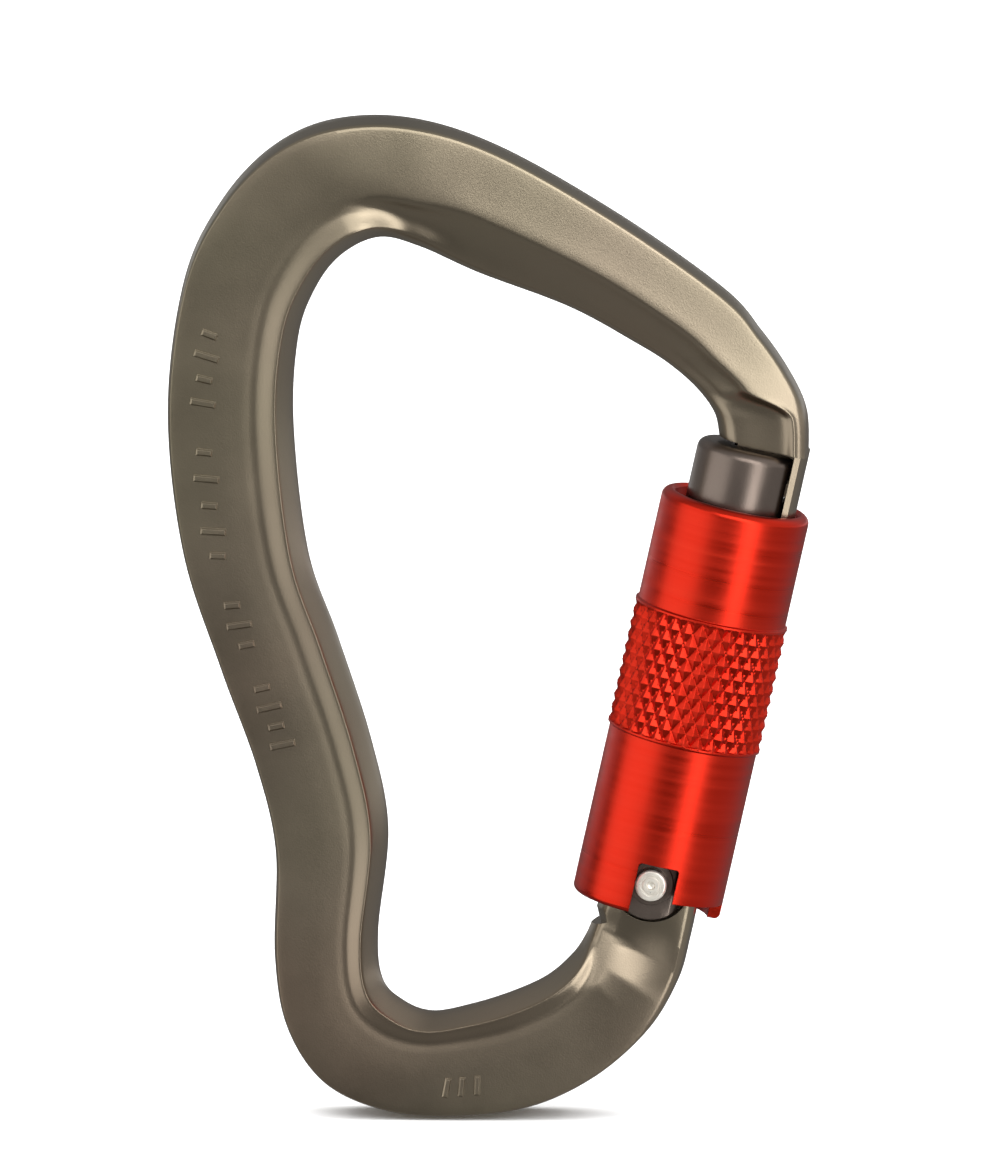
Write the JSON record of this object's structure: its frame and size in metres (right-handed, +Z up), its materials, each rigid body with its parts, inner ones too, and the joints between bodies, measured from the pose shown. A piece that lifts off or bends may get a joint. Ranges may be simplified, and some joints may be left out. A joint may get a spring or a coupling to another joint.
{
  "type": "locking carabiner",
  "caption": "Pear-shaped forged climbing carabiner with a waisted spine, a hinged gate and a knurled lift-and-turn locking sleeve.",
  "frame": {"origin": "middle of the bounding box at its lowest point, in the plane of the body", "axes": "+Z up the load axis from the narrow end to the wide end, +X from the spine towards the gate, -Y towards the viewer of the side where the sleeve's notch shows"},
  "size_m": [0.0756, 0.0182, 0.1186],
  "materials": {
    "body_anodised": "bronze-grey anodised, satin",
    "gate_anodised": "bronze-grey anodised, turned",
    "sleeve_anodised": "red anodised, turned and diamond knurled",
    "rivet_steel": "bright, turned",
    "spring_steel": "drawn wire",
    "bush_plastic": "black acetal"
  },
  "bodies": {
    "body": {"frame": "body_anodised", "hinge_rivet": "rivet_steel"},
    "gate_arm": {"gate": "gate_anodised", "retaining_ring": "spring_steel", "thrust_washer": "rivet_steel", "gate_spring": "spring_steel"},
    "plunger": {"gate_plunger": "rivet_steel"},
    "spring_carrier": {"sleeve_spring": "spring_steel"},
    "sleeve": {"locking_sleeve": "sleeve_anodised", "sleeve_bush": "bush_plastic"}
  },
  "joints": [
    {"name": "gate_hinge", "type": "hinge", "parent": "body", "child": "gate_arm", "pos_m": [0.0191, 0, 0.0284], "axis": [0, 1, 0], "range_deg": [-26, 0], "stiffness_Nm_per_rad": 0.5, "springref_deg": 17.19},
    {"name": "sleeve_lift", "type": "slide", "parent": "gate_arm", "child": "spring_carrier", "axis": [0.2164, 0, 0.9763], "range_m": [0, 0.0032], "stiffness_N_per_m": 900, "springref_m": -0.0033, "deforming": ["sleeve_spring"]},
    {"name": "sleeve_twist", "type": "hinge", "parent": "spring_carrier", "child": "sleeve", "pos_m": [0.0191, 0, 0.0284], "axis": [-0.2164, 0, -0.9763], "range_deg": [0, 78], "stiffness_Nm_per_rad": 0.022, "springref_deg": -74.48},
    {"name": "plunger_slide", "type": "slide", "parent": "gate_arm", "child": "plunger", "axis": [0.2164, 0, 0.9763], "range_m": [0, 0.00115], "deforming": ["gate_spring"]}
  ],
  "couplings": [
    {"joint": "plunger_slide", "follows": "gate_hinge", "m_per_rad": -0.00252}
  ]
}
